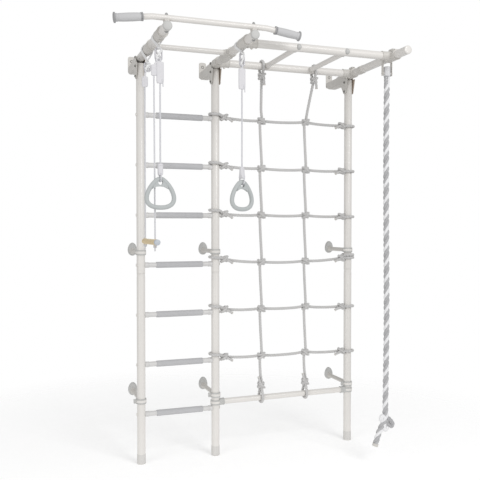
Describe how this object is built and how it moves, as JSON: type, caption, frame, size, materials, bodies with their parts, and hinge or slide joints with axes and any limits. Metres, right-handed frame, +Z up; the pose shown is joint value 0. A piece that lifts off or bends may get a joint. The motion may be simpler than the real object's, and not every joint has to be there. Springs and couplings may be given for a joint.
{
  "type": "wall bars with climbing net, rings and rope",
  "caption": "Wall-held climbing ladder on round steel posts with pull-up bar, overhead rungs, rope net, climbing rope, gym rings and a trapeze bar",
  "frame": {"origin": "on the floor under the middle post's axis", "axes": "+Z up, +Y to the wall behind, +X to the right along the wall, as seen from the room"},
  "size_m": [1.421, 0.824, 2.089],
  "materials": {
    "frame_paint": "white powder coat, satin",
    "clamp_paint": "light grey powder coat, satin",
    "rung_grip": "grey ribbed sleeve, matt",
    "bar_grip": "grey rubber grip, matt",
    "net_rope": "grey-white braided rope",
    "laid_rope": "laid rope of two grey strands and a white one",
    "rope_sheath": "grey moulded sheath",
    "webbing": "white woven strap",
    "link_steel": "zinc-plated wire",
    "white_cord": "white braided cord",
    "ring_plastic": "grey moulded plastic, satin",
    "bar_wood": "pale turned wood, clear lacquer"
  },
  "bodies": {
    "root": {"post_lower_left": "frame_paint", "post_lower_middle": "frame_paint", "post_lower_right": "frame_paint", "post_upper_left": "frame_paint", "post_upper_middle": "frame_paint", "post_upper_right": "frame_paint", "rung_1": "frame_paint", "rung_2": "frame_paint", "rung_3": "frame_paint", "rung_4": "frame_paint", "rung_5": "frame_paint", "rung_6": "frame_paint", "rung_7": "frame_paint", "arm_left": "frame_paint", "arm_middle": "frame_paint", "arm_right": "frame_paint", "cross_tube": "frame_paint", "front_rail": "frame_paint", "rear_rail": "frame_paint", "overhead_rung_left": "frame_paint", "overhead_rung_right": "frame_paint", "pull_up_bar": "frame_paint", "net_bar": "frame_paint", "wall_bracket_left": "clamp_paint", "wall_bracket_middle": "clamp_paint", "wall_bracket_right": "clamp_paint", "standoff_upper_left": "clamp_paint", "standoff_upper_middle": "clamp_paint", "standoff_upper_right": "clamp_paint", "standoff_lower_left": "clamp_paint", "standoff_lower_middle": "clamp_paint", "standoff_lower_right": "clamp_paint", "rung_grip_1": "rung_grip", "rung_grip_2": "rung_grip", "rung_grip_3": "rung_grip", "rung_grip_4": "rung_grip", "rung_grip_5": "rung_grip", "rung_grip_6": "rung_grip", "rung_grip_7": "rung_grip", "bar_grip_left": "bar_grip", "bar_grip_right": "bar_grip", "climbing_net": "net_rope"},
    "left_front_sling": {"left_front_sling": "webbing", "left_front_link": "link_steel"},
    "left_rear_sling": {"left_rear_sling": "webbing", "left_rear_link": "link_steel"},
    "right_sling": {"right_sling": "webbing", "right_link": "link_steel"},
    "left_ring_cord": {"left_ring_cord": "white_cord"},
    "right_ring_cord": {"right_ring_cord": "white_cord"},
    "left_ring": {"left_ring_sleeve": "white_cord", "left_ring": "ring_plastic"},
    "right_ring": {"right_ring_sleeve": "white_cord", "right_ring": "ring_plastic"},
    "trapeze_front_cord": {"trapeze_front_cord": "white_cord"},
    "trapeze_rear_cord": {"trapeze_rear_cord": "white_cord"},
    "trapeze_bar": {"trapeze_bar": "bar_wood"},
    "rope_yoke": {"rope_yoke": "clamp_paint"},
    "climbing_rope": {"rope_ferrule": "rope_sheath", "climbing_rope": "laid_rope"}
  },
  "joints": [
    {"name": "left_front_sling_swing", "type": "hinge", "parent": "root", "child": "left_front_sling", "pos_m": [-0.39, -0.38, 2.0276], "axis": [0, -1, 0], "range_deg": [-50, 18]},
    {"name": "left_rear_sling_swing", "type": "hinge", "parent": "root", "child": "left_rear_sling", "pos_m": [-0.39, -0.168, 2.0276], "axis": [0, -1, 0], "range_deg": [-50, 18]},
    {"name": "right_sling_swing", "type": "hinge", "parent": "root", "child": "right_sling", "pos_m": [0, -0.38, 2.0276], "axis": [0, -1, 0], "range_deg": [-18, 50]},
    {"name": "left_ring_cord_tip", "type": "hinge", "parent": "left_front_sling", "child": "left_ring_cord", "pos_m": [-0.383, -0.412, 1.9235], "axis": [-1, 0, 0], "range_deg": [0, 70]},
    {"name": "right_ring_cord_tip", "type": "hinge", "parent": "right_sling", "child": "right_ring_cord", "pos_m": [0, -0.412, 1.9285], "axis": [-1, 0, 0], "range_deg": [-33, 70]},
    {"name": "left_ring_turn", "type": "hinge", "parent": "left_ring_cord", "child": "left_ring", "pos_m": [-0.383, -0.412, 1.47], "axis": [0, 0, 1], "range_deg": [-3, 80]},
    {"name": "right_ring_turn", "type": "hinge", "parent": "right_ring_cord", "child": "right_ring", "pos_m": [0, -0.412, 1.4655], "axis": [0, 0, 1], "range_deg": [-90, 90]},
    {"name": "trapeze_front_cord_tip", "type": "hinge", "parent": "left_front_sling", "child": "trapeze_front_cord", "pos_m": [-0.3995, -0.412, 1.9235], "axis": [-1, 0, 0], "range_deg": [-8, 0]},
    {"name": "trapeze_rear_cord_tip", "type": "hinge", "parent": "left_rear_sling", "child": "trapeze_rear_cord", "pos_m": [-0.3995, -0.172, 1.9265], "axis": [-1, 0, 0], "range_deg": [-8, 0]},
    {"name": "trapeze_bar_level", "type": "hinge", "parent": "trapeze_front_cord", "child": "trapeze_bar", "pos_m": [-0.402, -0.3885, 1.136], "axis": [-1, 0, 0], "range_deg": [0, 8.9]},
    {"name": "rope_yoke_swing", "type": "hinge", "parent": "root", "child": "rope_yoke", "pos_m": [0.7716, -0.4, 2.0276], "axis": [0, -1, 0], "range_deg": [-38, 45]},
    {"name": "climbing_rope_tip", "type": "hinge", "parent": "rope_yoke", "child": "climbing_rope", "pos_m": [0.7716, -0.4, 1.955], "axis": [-1, 0, 0], "range_deg": [-10, 60]}
  ],
  "couplings": [
    {"joint": "left_rear_sling_swing", "follows": "left_front_sling_swing", "ratio": 1},
    {"joint": "trapeze_rear_cord_tip", "follows": "trapeze_front_cord_tip", "ratio": 1},
    {"joint": "trapeze_bar_level", "follows": "trapeze_front_cord_tip", "ratio": -1.1085}
  ]
}
